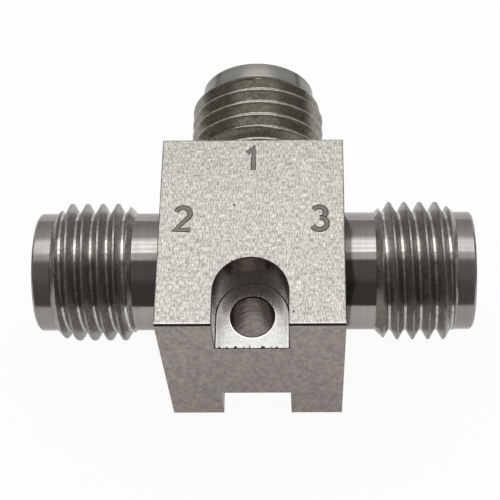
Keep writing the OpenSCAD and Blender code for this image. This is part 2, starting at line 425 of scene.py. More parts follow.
def write_box_edge(w: Wiring, i: dict[str, Value]) -> dict[str, Value]:
    """Nearness to a box's edges, 1 at the edge, by the middle one of the three distances to its faces.

    Args:
        w: Writer of the effect's tree.
        i: The effect's inputs, by name.

    Returns:
        The effect's outputs, by name.
    """
    gaps = w.split(i["Half"] - abs(i["Vector"] - i["Centre"]))
    middle = gaps[0] + gaps[1] + gaps[2] - (w.least(*gaps) + w.most(*gaps))
    ragged = w.noise(i["Vector"], 5.0, 3.0) * 1.2 + 0.4
    return {"Mask": w.band(middle / (i["Width"] * ragged), 1.0, 0.4)}


GRAIN = Effect("blasted_grain", {"Vector": ORIGIN, "Stretch": (2.0, 2.0, 2.0)}, write_grain)
STROKES = Effect("tool_strokes", {"Vector": ORIGIN, "Stretch": (1.0, 20.0, 20.0)}, write_strokes)
PITS = Effect("small_pits", {"Vector": ORIGIN, "Scale": 1.0, "Share": 0.05}, write_pits)
TURNING = Effect("turning_rings", {"Vector": ORIGIN, "Along": (1.0, 0.0, 0.0)}, write_turning)
BOX_INPUTS = {"Vector": ORIGIN, "Centre": ORIGIN, "Half": (1.0, 1.0, 1.0), "Width": 0.1}
BOX_EDGE = Effect("box_edge", BOX_INPUTS, write_box_edge)


# Finishes


class Axis(Enum):
    """Direction that a turned piece was turned about."""

    X = (1.0, 0.0, 0.0)
    Y = (0.0, 1.0, 0.0)


@dataclass(frozen=True)
class Finish:
    """A finish. Each kind of finish has its own pattern.

    Attributes:
        name: Name of the material.
        color: Main colour.
        rough: Main roughness.
        metallic: 1 for metal.
    """

    name: str
    color: Color
    rough: float
    metallic: float = 1.0

    @cache
    def material(self) -> bpy.types.Material:
        """Makes the material on its first use.

        Returns:
            The material.
        """
        made = bpy.data.materials.new(self.name)
        made.use_nodes = True
        made.diffuse_color = (*self.color, 1.0)
        w = Wiring(made.node_tree)
        shader = next(n for n in made.node_tree.nodes if n.type == "BSDF_PRINCIPLED")
        plain = {"Base Color": self.color, "Roughness": self.rough, "Metallic": self.metallic}
        for look in (plain, self.pattern(w, w.node("TexCoord", out="Object") * (1.0 / MM))):
            for name, value in look.items():
                w.feed(shader.inputs[name], value)
        return made

    def pattern(self, w: Wiring, place: Value) -> dict[str, Feed]:
        """Writes the finish's own nodes.

        Args:
            w: Writer of the material's tree.
            place: Place on the piece, in millimetres.

        Returns:
            What the shader's inputs take, by name.
        """
        return {}

    def dress(self, piece: bpy.types.Object) -> None:
        """Puts the finish on every face of a piece.

        Args:
            piece: The piece, with or without slots of its own.
        """
        if not piece.data.materials:
            piece.data.materials.append(self.material())
        for slot in piece.material_slots:
            slot.material = self.material()


@dataclass(frozen=True)
class BlockZones:
    """Masks of the block's faces, and the measures that its patterns follow, in millimetres.

    Attributes:
        top: The top face.
        bare: All that isn't the top face.
        face: What is bare outside the recess and the screw hole.
        bore: The screw hole.
        x: Distance to the right of the middle.
        back: Distance behind the front face.
        under: Depth under the top face.
        up: Height over the recess floor.
        deep: Distance behind the hole's axis.
        radius: Distance from the hole's axis.
        reach: Distance towards the recess wall.
        seat: The recess floor.
        corner: The chamfer at the foot of the recess wall.
        wall: The recess wall.
        brim: The chamfer at its rim.
    """

    top: Value
    bare: Value
    face: Value
    bore: Value
    x: Value
    back: Value
    under: Value
    up: Value
    deep: Value
    radius: Value
    reach: Value
    seat: Value
    corner: Value
    wall: Value
    brim: Value


@dataclass(frozen=True)
class MilledBlock(Finish):
    """The block's steel: finely blasted on top, milled in front, in the recess and in the hole.

    Attributes:
        centre: Middle of the block, in millimetres as all its sizes.
        half: Half its size.
        floor_z: Height of the recess floor.
        front_y: Place of the front face.
        hole_y: Place of the screw hole's axis.
        hole_r: The screw hole's radius.
        recess_r: Half the recess's width.
        corner: Chamfer at the foot of the recess wall.
        brim: Chamfer at its rim.
        grazing: How much of the light is left where it is mirrored at a low angle.
        ground: Darkest and brightest of the top's grain, as shares of the main colour.
        cast: The top's two casts, as shares too.
        front: Greenish and warm patches of the front.
        side: The same of the other milled faces.
        seat: The recess floor, plain and worn.
        rubbed: Where the recess wall is rubbed.
        highlight_color: Painted highlights, bright lines on the recess floor by the hole and the wall.
        lit_edge: Painted highlight, a bright line along the top's front edge.
        edge_shade_color: Painted shade on the block's other edges.
        dark: Colour of the pits, the burr and the painted shade lines on rims, chamfers and edges.
    """

    centre: Triple = (0.0, -2.95, 5.0)
    half: Triple = (4.0, 4.5, 5.0)
    floor_z: float = 7.5
    front_y: float = -7.45
    hole_y: float = -5.95
    hole_r: float = 0.95
    recess_r: float = 1.6
    corner: float = 0.03
    brim: float = 0.04
    grazing: float = 0.58
    ground: ColorPair = ((0.552, 0.549, 0.538), (1.26, 1.262, 1.274))
    cast: ColorPair = ((0.975, 0.98, 0.99), (1.025, 1.02, 1.0))
    front: ColorPair = ((0.342, 0.32, 0.293), (0.402, 0.325, 0.303))
    side: ColorPair = ((0.33, 0.315, 0.288), (0.365, 0.346, 0.318))
    seat: ColorPair = ((0.426, 0.418, 0.403), (0.535, 0.525, 0.507))
    rubbed: Color = (0.525, 0.5, 0.475)
    highlight_color: Color = (0.775, 0.762, 0.737)
    lit_edge: Color = (0.587, 0.575, 0.537)
    edge_shade_color: Color = (0.1, 0.095, 0.088)
    dark: Color = (0.012, 0.011, 0.01)

    def pattern(self, w: Wiring, place: Value) -> dict[str, Feed]:
        """Blasted grain on top, blotches and strokes on the milled faces, pits, a burr drawn dark, and
        painted shade and highlights on edges and rims.

        Args:
            w: Writer of the material's tree.
            place: Place on the piece, in millimetres.

        Returns:
            What the shader's inputs take, by name.
        """
        at = self.zones(w, place)
        grain = w.effect(GRAIN, Vector=place, Stretch=(2.2, 0.62, 0.9))
        across = w.effect(GRAIN, Vector=place, Stretch=(0.35, 1.5, 1.1))
        pits = w.effect(PITS, Vector=place + (0.37, 0.21, 0.0), Scale=2.3, Share=0.09)["Mask"] * at.top
        swirl = self.swirl(w, at)
        blotch = w.noise(place * (1.7, 1.0, 0.85), 3.3, 4.0, 0.55)
        bored = w.noise(place * (0.7, 0.7, 5.0), 1.0, 3.0, 0.6)

        color = w.blend(at.bare, self.blasted(w, grain, across), self.milled(w, place, blotch, at))
        worn = w.blend(swirl * 0.3 + across["Fleck"] * 0.7, *self.seat)
        # Painted light: the recess floor is painted brighter behind the hole's axis, where the wall shades it
        # and darkens what it mirrors, and a little darker in front.
        color = w.blend(at.seat, color, w.over(worn, w.band(at.deep, -0.3, 0.1, 0.93, 1.32)))
        rubbed = w.most(w.band(swirl, 0.35, 0.67, 0.05, 0.6), w.band(at.deep, 0.3, -0.3))
        color = w.blend(at.wall * rubbed, color, self.rubbed)
        # Painted highlights: bright lines on the recess floor by the hole and the wall, and along the top's
        # front edge.
        color = self.painted_highlights(w, color, at)
        # Dark pits, and painted shade lines on rims, chamfers and edges, with the burr drawn dark.
        color = w.blend(w.most(pits * 0.75, self.shade_lines_and_burr(w, at)), color, self.dark)

        matt = grain["Fleck"] * -0.1 + (self.rough + 0.05)
        return {
            "Specular Tint": self.grazing,
            # The block's edges behind the front face get painted shade.
            "Base Color": self.edges(w, place, color, at),
            "Roughness": matt + at.bare * -0.14 + at.seat * 0.08 + at.wall * -0.02,
            "Normal": w.relief(
                (grain["Height"] * at.top, 0.006),
                (across["Height"] * w.most(at.top, at.seat), 0.0016),
                (blotch * at.face, 0.004),
                (bored * at.bore, 0.02),
                (swirl * w.most(at.seat, at.wall * 5.0), 0.0012),
                (1.0 - pits, 0.006),
            ),
        }

    def zones(self, w: Wiring, place: Value) -> BlockZones:
        """Works out which face a place is on.

        Formula: the way to the recess wall is the radius from the screw hole's axis behind that
        axis, and the distance from the middle plane in front of it.

        Args:
            w: The material's writer.
            place: Place in millimetres.

        Returns:
            The masks and measures.
        """
        x, y, z = w.split(place)
        back, deep, under, up = y - self.front_y, y - self.hole_y, TOP_Z - z, z - self.floor_z
        top = w.band(under, 0.015, 0.005)
        bare = 1.0 - top
        wide, behind = x * x, w.most(deep, 0.0)
        radius, reach = (w.math("SQRT", d * d + wide) for d in (deep, behind))
        inner = w.band(reach, self.recess_r + 0.05, self.recess_r + 0.03) * w.band(back, 0.003, 0.009)
        bore = w.band(radius, self.hole_r + 0.006, self.hole_r + 0.002) * w.band(up, 0.0, -0.004)
        face = bare * (1.0 - w.most(inner, bore))
        seat = inner * w.band(abs(up), 0.004, 0.002)
        past_corner = w.band(up, self.corner, self.corner + 0.004)
        past_brim = w.band(under, self.brim - 0.005, self.brim + 0.005)
        corner = inner * w.band(up, 0.002, 0.004) * (1.0 - past_corner)
        wall = inner * past_corner * past_brim
        brim = inner * (1.0 - past_brim) * w.band(under, 0.001, 0.004)
        measures = (x, back, under, up, deep, radius, reach)
        return BlockZones(top, bare, face, bore, *measures, seat, corner, wall, brim)

    def blasted(self, w: Wiring, grain: dict[str, Value], across: dict[str, Value]) -> Value:
        """Colours the top.

        Args:
            w: The material's writer.
            grain: Grain along the block.
            across: Grain across it.

        Returns:
            The colour, with both grains and a slow change of cast.
        """
        ground = w.blend(w.band(grain["Height"], 0.33, 0.97), *self.ground)
        cast = w.blend(w.band(grain["Broad"], 0.35, 0.65), *self.cast)
        return w.over(self.color, ground, w.band(across["Height"], 0.35, 0.95, 0.8, 1.2), cast)

    def milled(self, w: Wiring, place: Value, blotch: Value, at: BlockZones) -> Value:
        """Colours the milled faces.

        Args:
            w: The material's writer.
            place: Place in millimetres.
            blotch: Noise of the fine blotches.
            at: Where the place is.

        Returns:
            The colour, in patches under the blotches, with its own in front.
        """
        patch = w.band(w.noise(place, 0.8, 2.0, 0.6), 0.25, 0.75)
        blotch = w.band(blotch, 0.25, 0.75, 0.79, 1.21)
        front = w.over(w.blend(patch, *self.front), blotch)
        side = w.over(w.blend(patch, *self.side), w.blend(0.6, blotch, 1.0))
        return w.blend(w.most(w.band(at.back, 0.05, 0.02), 1.0 - at.face), side, front)

    def shade_lines_and_burr(self, w: Wiring, at: BlockZones) -> Value:
        """Draws painted shade as dark lines on the rims of hole and recess, the recess's chamfers, its edge
        on the front face and the top front edge, and the burr, drawn dark.

        Args:
            w: The material's writer.
            at: Where the place is.

        Returns:
            Mask of the dark lines.
        """
        # Painted shade: a dark ring on the floor round the hole, and a dark lip at the top of its bore.
        rim = at.seat * w.band(abs(at.radius - (self.hole_r + 0.012)), 0.034, 0.022)
        lip = at.bore * w.band(at.up, -0.12, -0.07)
        ragged = w.noise(w.join(at.x), 3.0, 3.0) * 0.06
        # Painted shade: a dark line along the top front edge.
        painted_front_edge = w.band(at.back, 0.014, 0.01) * w.band(at.under - ragged, 0.2, 0.17)
        # Painted shade: a dark line on the front face along the recess's edge.
        recess_edge_shade = w.band(abs(at.reach - (self.recess_r + 0.015)), 0.03, 0.012)
        recess_edge_shade = recess_edge_shade * at.face * w.band(at.up, 0.0, 0.01)
        # Painted shade in the chamfer at the foot of the recess wall, darkest in front; the rim's chamfer is
        # darkened too.
        corner = at.corner * w.band(at.deep, 0.7, 1.4, 1.0, 0.3)
        return w.most(self.burr(w, at), rim, lip, painted_front_edge, recess_edge_shade * 0.8, corner, at.brim * 0.85)

    def painted_highlights(self, w: Wiring, color: Value, at: BlockZones) -> Value:
        """Draws painted highlights: bright lines by the hole and the wall on the recess floor, and along the
        top's front edge.

        Args:
            w: The material's writer.
            color: Colour under them.
            at: Where the place is.

        Returns:
            The colour with them.
        """
        # Painted highlights: thin bright rings by the hole and along the foot of the wall.
        hole_highlight = w.band(abs(at.radius - (self.hole_r + 0.065)), 0.035, 0.015)
        wall_highlight = w.band(abs(at.reach - (self.recess_r - 0.065)), 0.03, 0.015)
        color = w.blend(at.seat * w.most(hole_highlight, wall_highlight) * 0.6, color, self.highlight_color)
        # Painted highlight along the top's front edge.
        painted_front_edge = w.band(at.back, 0.1, 0.07) * w.band(at.under, 0.02, 0.012)
        return w.blend(painted_front_edge * 0.65, color, self.lit_edge)

    def edges(self, w: Wiring, place: Value, color: Value, at: BlockZones) -> Value:
        """Paints shade on the block's own edges behind the front face."""
        edge = w.effect(BOX_EDGE, Vector=place, Centre=self.centre, Half=self.half, Width=0.06)["Mask"]
        return w.blend(edge * w.band(at.back, 0.06, 0.12) * 0.85, color, self.edge_shade_color)

    def swirl(self, w: Wiring, at: BlockZones) -> Value:
        """Rings that the milling cutter leaves round the screw hole, drawn out along their arcs."""
        return w.noise(w.join(at.radius * 12.0, at.x * 2.4, at.deep * 2.4), 1.0, 3.0, 0.65)

    def burr(self, w: Wiring, at: BlockZones) -> Value:
        """Draws the burr where the cutter left the recess floor: a real ragged edge, drawn as a thin line of
        painted shade with ragged patches.

        Args:
            w: The material's writer.
            at: Where the place is.

        Returns:
            Its mask.
        """
        ragged = w.noise(w.join(at.x), 3.4, 3.0, 0.6)
        nick = w.band(abs(at.x + 0.1), 0.035, 0.01) * 0.16
        depth = w.most(w.band(ragged, 0.5, 0.62) * 0.09 + 0.03, nick)
        level = w.band(abs(at.up), 0.03, 0.01) * w.band(abs(at.x), self.recess_r + 0.01, self.recess_r)
        return level * w.band(at.back - depth, 0.012, -0.008)


@dataclass(frozen=True)
class ShellZones:
    """Masks of a turned piece, and the measures that its patterns follow, in millimetres.

    Attributes:
        cut: Roots and flanks of the thread.
        flank: Its flanks alone.
        crest: Its crests.
        shoulder: The slope behind the thread.
        foot: The last of the neck before that slope.
        nose: The plain nose.
        x: Distance to the right of the junction.
        high: Height over the axis.
    """

    cut: Value
    flank: Value
    crest: Value
    shoulder: Value
    foot: Value
    nose: Value
    x: Value
    high: Value


@dataclass(frozen=True)
class TurnedMetal(Finish):
    """Metal turned on a lathe, with fine rings, slow stains and a torn thread where it has one.

    Attributes:
        axis: Direction that it was turned about.
        stain: Colour of the stains.
        band: Colour of the brighter bands.
        scuffed: Colour of the scuffs.
        ring_depth: Depth of the rings, in millimetres.
        grazing: How much of the light is left where it is mirrored at a low angle.
        flank: Colour of a thread's flanks.
        root: Colour of its roots.
        crest: Colour of its crests.
        worn: Painted light: how much brighter the crests are painted on the left side, where more light falls
            on them, as a share.
        under: Painted shade: how bright flanks and crests are painted on the lower half, as a share.
        shoulder: Colour of the slope behind the thread.
        foot: How bright the last of the neck is, as a share.
        nose: How bright the nose is, as a share.
        haze: How far the nose is dulled.
        flank_rough: Roughness that flanks and crests have more than the rest.
        flank_from: Distance from the axis where the roots begin, in millimetres.
        root_to: Distance from the axis where they end.
        crest_from: Distance from the axis where the crests begin.
        nose_from: Distance from the junction where the nose begins.
        shoulder_to: Distance from the junction where the slope behind the thread ends.
        foot_length: How much of the neck before it is the foot.
    """

    axis: Axis = Axis.X
    stain: Color = (0.281, 0.266, 0.244)
    band: Color = (0.525, 0.506, 0.481)
    scuffed: Color = (0.08, 0.075, 0.07)
    ring_depth: float = 0.0007
    grazing: float = 0.9
    flank: Color = (0.42, 0.404, 0.378)
    root: Color = (0.52, 0.5, 0.475)
    crest: Color = (0.29, 0.279, 0.263)
    worn: float = 1.2
    under: float = 0.91
    shoulder: Color = (0.6, 0.592, 0.567)
    foot: float = 1.0
    nose: float = 1.0
    haze: float = 0.0
    flank_rough: float = 0.15
    flank_from: float = 2.705
    root_to: float = 2.745
    crest_from: float = 3.11
    nose_from: float = 9.08
    shoulder_to: float = 5.93
    foot_length: float = 0.7

    def pattern(self, w: Wiring, place: Value) -> dict[str, Feed]:
        """Rings in relief and roughness, stains, the thread's colours with painted light and shade, and a few
        scuffs.

        Args:
            w: Writer of the material's tree.
            place: Place on the piece, in millimetres.

        Returns:
            What the shader's inputs take, by name.
        """
        at = self.zones(w, place)
        lathe = w.effect(TURNING, Vector=place, Along=self.axis.value)
        grain = w.effect(GRAIN, Vector=place)
        scuff = w.effect(PITS, Vector=place, Scale=1.9, Share=0.08)["Mask"]
        torn, threaded = w.noise(place, 6.0, 3.0, 0.65), w.most(at.cut, at.crest)

        color = w.blend(lathe["Stain"] * 0.55, self.color, self.stain)
        color = w.blend(lathe["Band"] * 0.12, color, self.band)
        color = self.thread_colors(w, place, color, at)
        color = w.blend(threaded, color, w.over(color, w.band(torn, 0.3, 0.7, 0.76, 1.21)))
        color = w.blend(scuff * 0.5, color, self.scuffed)
        tone = at.nose * (self.nose - 1.0) + at.foot * (self.foot - 1.0) + 1.0
        rough = lathe["Height"] * 0.1 + (self.rough - 0.05) + lathe["Stain"] * 0.06
        layers = ((lathe["Height"], self.ring_depth), (grain["Height"], 0.0002), (torn * threaded, 0.0048))
        return {
            "Specular Tint": self.grazing,
            "Base Color": w.over(color, tone),
            "Roughness": rough + w.most(at.flank, at.crest) * self.flank_rough + at.nose * 0.07,
            "Metallic": at.nose * -self.haze + self.metallic if self.haze else self.metallic,
            "Normal": w.relief(*layers),
        }

    def zones(self, w: Wiring, place: Value) -> ShellZones:
        """Works out the masks from the distances from the axis and from the junction.

        Args:
            w: The material's writer.
            place: Place in millimetres.

        Returns:
            The masks and measures.
        """
        off, axis, slope_to = place - JUNCTION, self.axis.value, self.shoulder_to
        flat = off * tuple(1.0 - a for a in axis)
        radius = w.node("VectorMath", {0: flat}, out="Value", operation="LENGTH")
        along = abs(w.node("VectorMath", {0: off, 1: axis}, out="Value", operation="DOT_PRODUCT"))
        crest = w.band(radius, self.crest_from - 0.02, self.crest_from + 0.02)
        cut = w.band(radius, self.flank_from, self.flank_from + 0.02) * (1.0 - crest)
        flank = cut * w.band(radius, self.root_to - 0.01, self.root_to + 0.01)
        shoulder = cut * w.band(along, slope_to, slope_to - 0.05)
        foot = w.band(along, slope_to - self.foot_length, slope_to - self.foot_length + 0.08)
        foot = foot * w.band(along, slope_to + 0.02, slope_to - 0.02) * w.band(radius, 2.75, 2.72)
        nose = w.band(along, self.nose_from, self.nose_from + 0.04)
        x, _, high = w.split(off)
        return ShellZones(cut, flank, crest, shoulder, foot, nose, x, high)

    def thread_colors(self, w: Wiring, place: Value, color: Value, at: ShellZones) -> Value:
        """Lays the colours of roots, flanks, slope and crests over the rest, with painted shade on the lower
        half and painted light on the crests' left side.

        Args:
            w: The material's writer.
            place: Place in millimetres.
            color: Colour of the rest.
            at: Where the place is.

        Returns:
            The colour.
        """
        mottled = at.cut * w.band(w.noise(place, 2.2, 4.0, 0.7), 0.15, 0.6)
        color = w.blend(mottled, color, w.blend(at.flank, self.root, self.flank))
        color = w.blend(at.shoulder, color, self.shoulder)
        # Painted light: crests are painted brighter on the left side, where more light falls on them.
        worn = tuple(c * self.worn for c in self.crest)
        color = w.blend(at.crest, color, w.blend(w.band(at.x, -1.0, 1.0), worn, self.crest))
        # Painted shade: flanks and crests are painted darker on the lower half.
        shade = w.band(at.high, 1.2, 2.3, self.under, 1.0)
        return w.over(color, w.blend(w.most(at.flank, at.crest), 1.0, shade))


@dataclass(frozen=True)
class GroundMetal(Finish):
    """Metal ground or rolled flat, with straight strokes.

    Attributes:
        stretch: How closely the strokes lie along each axis.
    """

    stretch: Triple = (0.8, 24.0, 24.0)

    def pattern(self, w: Wiring, place: Value) -> dict[str, Feed]:
        """Straight strokes, a few deep ones darker, over a faint grain.

        Args:
            w: Writer of the material's tree.
            place: Place on the piece, in millimetres.

        Returns:
            What the shader's inputs take, by name.
        """
        strokes = w.effect(STROKES, Vector=place, Stretch=self.stretch)
        grain = w.effect(GRAIN, Vector=place)
        darker = tuple(c * 0.6 for c in self.color)
        return {
            "Base Color": w.blend(strokes["Deep"] * 0.5, self.color, darker),
            "Roughness": grain["Fleck"] * 0.08 + (self.rough - 0.04),
            "Normal": w.relief((strokes["Height"], 0.0012), (grain["Height"], 0.0005)),
        }


@dataclass(frozen=True)
class BeadPlastic(Finish):
    """Amber engineering plastic, turned, a little cloudy."""

    metallic: float = 0.0

    def pattern(self, w: Wiring, place: Value) -> dict[str, Feed]:
        """Cloudy tone and faint machining marks.

        Args:
            w: Writer of the material's tree.
            place: Place on the piece, in millimetres.

        Returns:
            What the shader's inputs take, by name.
        """
        grain = w.effect(GRAIN, Vector=place)
        strokes = w.effect(STROKES, Vector=place, Stretch=(14.0, 14.0, 14.0))
        deeper = tuple(c * t for c, t in zip(self.color, (0.82, 0.7, 0.55)))
        return {
            "Base Color": w.blend(w.band(grain["Broad"], 0.35, 0.65), self.color, deeper),
            "Roughness": grain["Fleck"] * 0.1 + self.rough,
            "Normal": w.relief((strokes["Height"], 0.001), (grain["Height"], 0.0008)),
        }


@dataclass(frozen=True)
class SealGlass(Finish):
    """Fused sealing glass with small bubbles."""

    metallic: float = 0.0

    def pattern(self, w: Wiring, place: Value) -> dict[str, Feed]:
        """Bubbles as small pits, and a drifting tint. The transmission is a plain value.

        Args:
            w: Writer of the material's tree.
            place: Place on the piece, in millimetres.

        Returns:
            What the shader's inputs take, by name.
        """
        bubbles = w.effect(PITS, Vector=place, Scale=9.0, Share=0.35)["Mask"]
        grain = w.effect(GRAIN, Vector=place)
        paler = tuple(min(1.0, c * 1.5) for c in self.color)
        return {
            "Transmission Weight": 0.55,
            "IOR": 1.52,
            "Base Color": w.blend(w.band(grain["Broad"], 0.3, 0.7), self.color, paler),
            "Roughness": bubbles * 0.3 + self.rough,
            "Normal": w.relief((bubbles, 0.004), (grain["Height"], 0.0006)),
        }


@dataclass(frozen=True)
class FiredFilm(Finish):
    """A fired ceramic or a printed film on it, with a granular skin.

    Attributes:
        fleck_color: Colour of the grains.
        depth: Depth of the grain, in millimetres.
    """

    metallic: float = 0.0
    fleck_color: Color = (0.8, 0.79, 0.75)
    depth: float = 0.0006

    def pattern(self, w: Wiring, place: Value) -> dict[str, Feed]:
        """Fine grains in the colour, the roughness and the relief.

        Args:
            w: Writer of the material's tree.
            place: Place on the piece, in millimetres.

        Returns:
            What the shader's inputs take, by name.
        """
        grain = w.effect(GRAIN, Vector=place, Stretch=(4.0, 4.0, 4.0))
        return {
            "Base Color": w.blend(grain["Fleck"], self.color, self.fleck_color),
            "Roughness": grain["Fleck"] * 0.12 + (self.rough - 0.06),
            "Normal": w.relief((grain["Height"], self.depth)),
        }


@dataclass(frozen=True)
class EtchedMark(Finish):
    """Laser etching, darker along both rims of a stroke. Reads the stroke's own UV map."""

    metallic: float = 0.0

    def pattern(self, w: Wiring, place: Value) -> dict[str, Feed]:
        """Dark rims from the map's first number, over a crumbly grain.

        Args:
            w: Writer of the material's tree.
            place: Place on the piece, in millimetres.

        Returns:
            What the shader's inputs take, by name.
        """
        across = w.split(w.node("UVMap", uv_map="stroke"))[0]
        grain = w.effect(GRAIN, Vector=place, Stretch=(1.3, 1.3, 1.3))
        rim = w.band(grain["Fleck"] * 0.08 + abs(across - 0.5), 0.27, 0.4)
        color = w.blend(grain["Fleck"] * 0.5, self.color, (0.36, 0.352, 0.31))
        return {
            "Base Color": w.blend(rim, color, tuple(c * 0.22 for c in self.color)),
            "Normal": w.relief((grain["Height"], 0.004)),
        }


def turned_pair(name: str, color: Color, rough: float, stain: Color) -> dict[Axis, TurnedMetal]:
    """The same turned metal for each direction of turning."""
    return {a: TurnedMetal(f"{name}_{a.name.lower()}", color, rough, axis=a, stain=stain) for a in Axis}


BLOCK_STEEL = MilledBlock("milled_block", (0.395, 0.384, 0.35), 0.33)
SIDE_SHELL_STEEL = TurnedMetal(
    "turned_steel_x", (0.344, 0.328, 0.312), 0.085, flank_rough=0.195, nose=0.93, haze=0.2
)
REAR_SHELL_STEEL = TurnedMetal(
    "turned_steel_y",
    (0.325, 0.315, 0.285),
    0.15,
    axis=Axis.Y,
    flank=(0.295, 0.284, 0.246),
    root=(0.29, 0.28, 0.24),
    crest=(0.36, 0.348, 0.31),
    worn=1.0,
    under=1.0,
    shoulder=(0.56, 0.545, 0.47),
    foot=0.36,
    nose=0.88,
    flank_rough=0.1,
)
SHELL_STEEL = {Axis.X: SIDE_SHELL_STEEL, Axis.Y: REAR_SHELL_STEEL}
BUSH_STEEL = turned_pair("bush_steel", (0.438, 0.425, 0.406), 0.2, (0.35, 0.338, 0.312))
CONTACT_GOLD = turned_pair("contact_gold", (0.86, 0.6, 0.22), 0.2, (0.7, 0.45, 0.15))
SEAL_METAL = turned_pair("seal_metal", (0.8, 0.6, 0.27), 0.28, (0.6, 0.42, 0.18))
BEAD_PLASTIC = BeadPlastic("amber_bead", (0.72, 0.4, 0.11), 0.38)
SEAL_GLASS = SealGlass("fused_glass", (0.2, 0.28, 0.36), 0.08)
CHIP_CERAMIC = FiredFilm("fired_ceramic", (0.86, 0.85, 0.8), 0.5)
RESISTOR_FILM = FiredFilm("printed_resistor", (0.035, 0.035, 0.042), 0.42, 0.3, (0.09, 0.09, 0.11))
CHIP_GOLD = FiredFilm("printed_gold", (0.88, 0.62, 0.24), 0.3, 1.0, (0.8, 0.54, 0.2), 0.0004)
COVER_STEEL = GroundMetal("ground_cover", (0.413, 0.406, 0.388), 0.3)
ETCHED_MARK = EtchedMark("etched_mark", (0.26, 0.253, 0.218), 0.7)


# Jacks


class Side(Enum):
    """The three jacks, each with the direction out of its mouth."""

    LEFT = (-1.0, 0.0, 0.0)
    RIGHT = (1.0, 0.0, 0.0)
    REAR = (0.0, 1.0, 0.0)

    def axis(self) -> Axis:
        """Axis that the jack's pieces were turned about."""
        return Axis.Y if self is Side.REAR else Axis.X


@dataclass(frozen=True)
class JackSizes:
    """Sizes of one jack in millimetres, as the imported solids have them.

    Depths run from the block's face or the mouth, and bead_front is a height over the face.
    """

    seat_depth: float = 1.4
    spigot_d: float = 4.4
    neck_d: float = 5.4
    neck_l: float = 1.45
    thread_d: float = 6.33
    pitch: float = 0.7056
    thread_l: float = 3.63
    crest_round: float = 0.035
    root_round: float = 0.05
    nose_d: float = 5.4
    nose_break: float = 0.1
    length: float = 5.9
    mouth_d: float = 4.6
    mouth_depth: float = 1.93
    mouth_break: float = 0.08
    line_d: float = 2.92
    bead_bore_d: float = 3.62
    bead_front: float = 1.32
    lead_in: float = 0.05


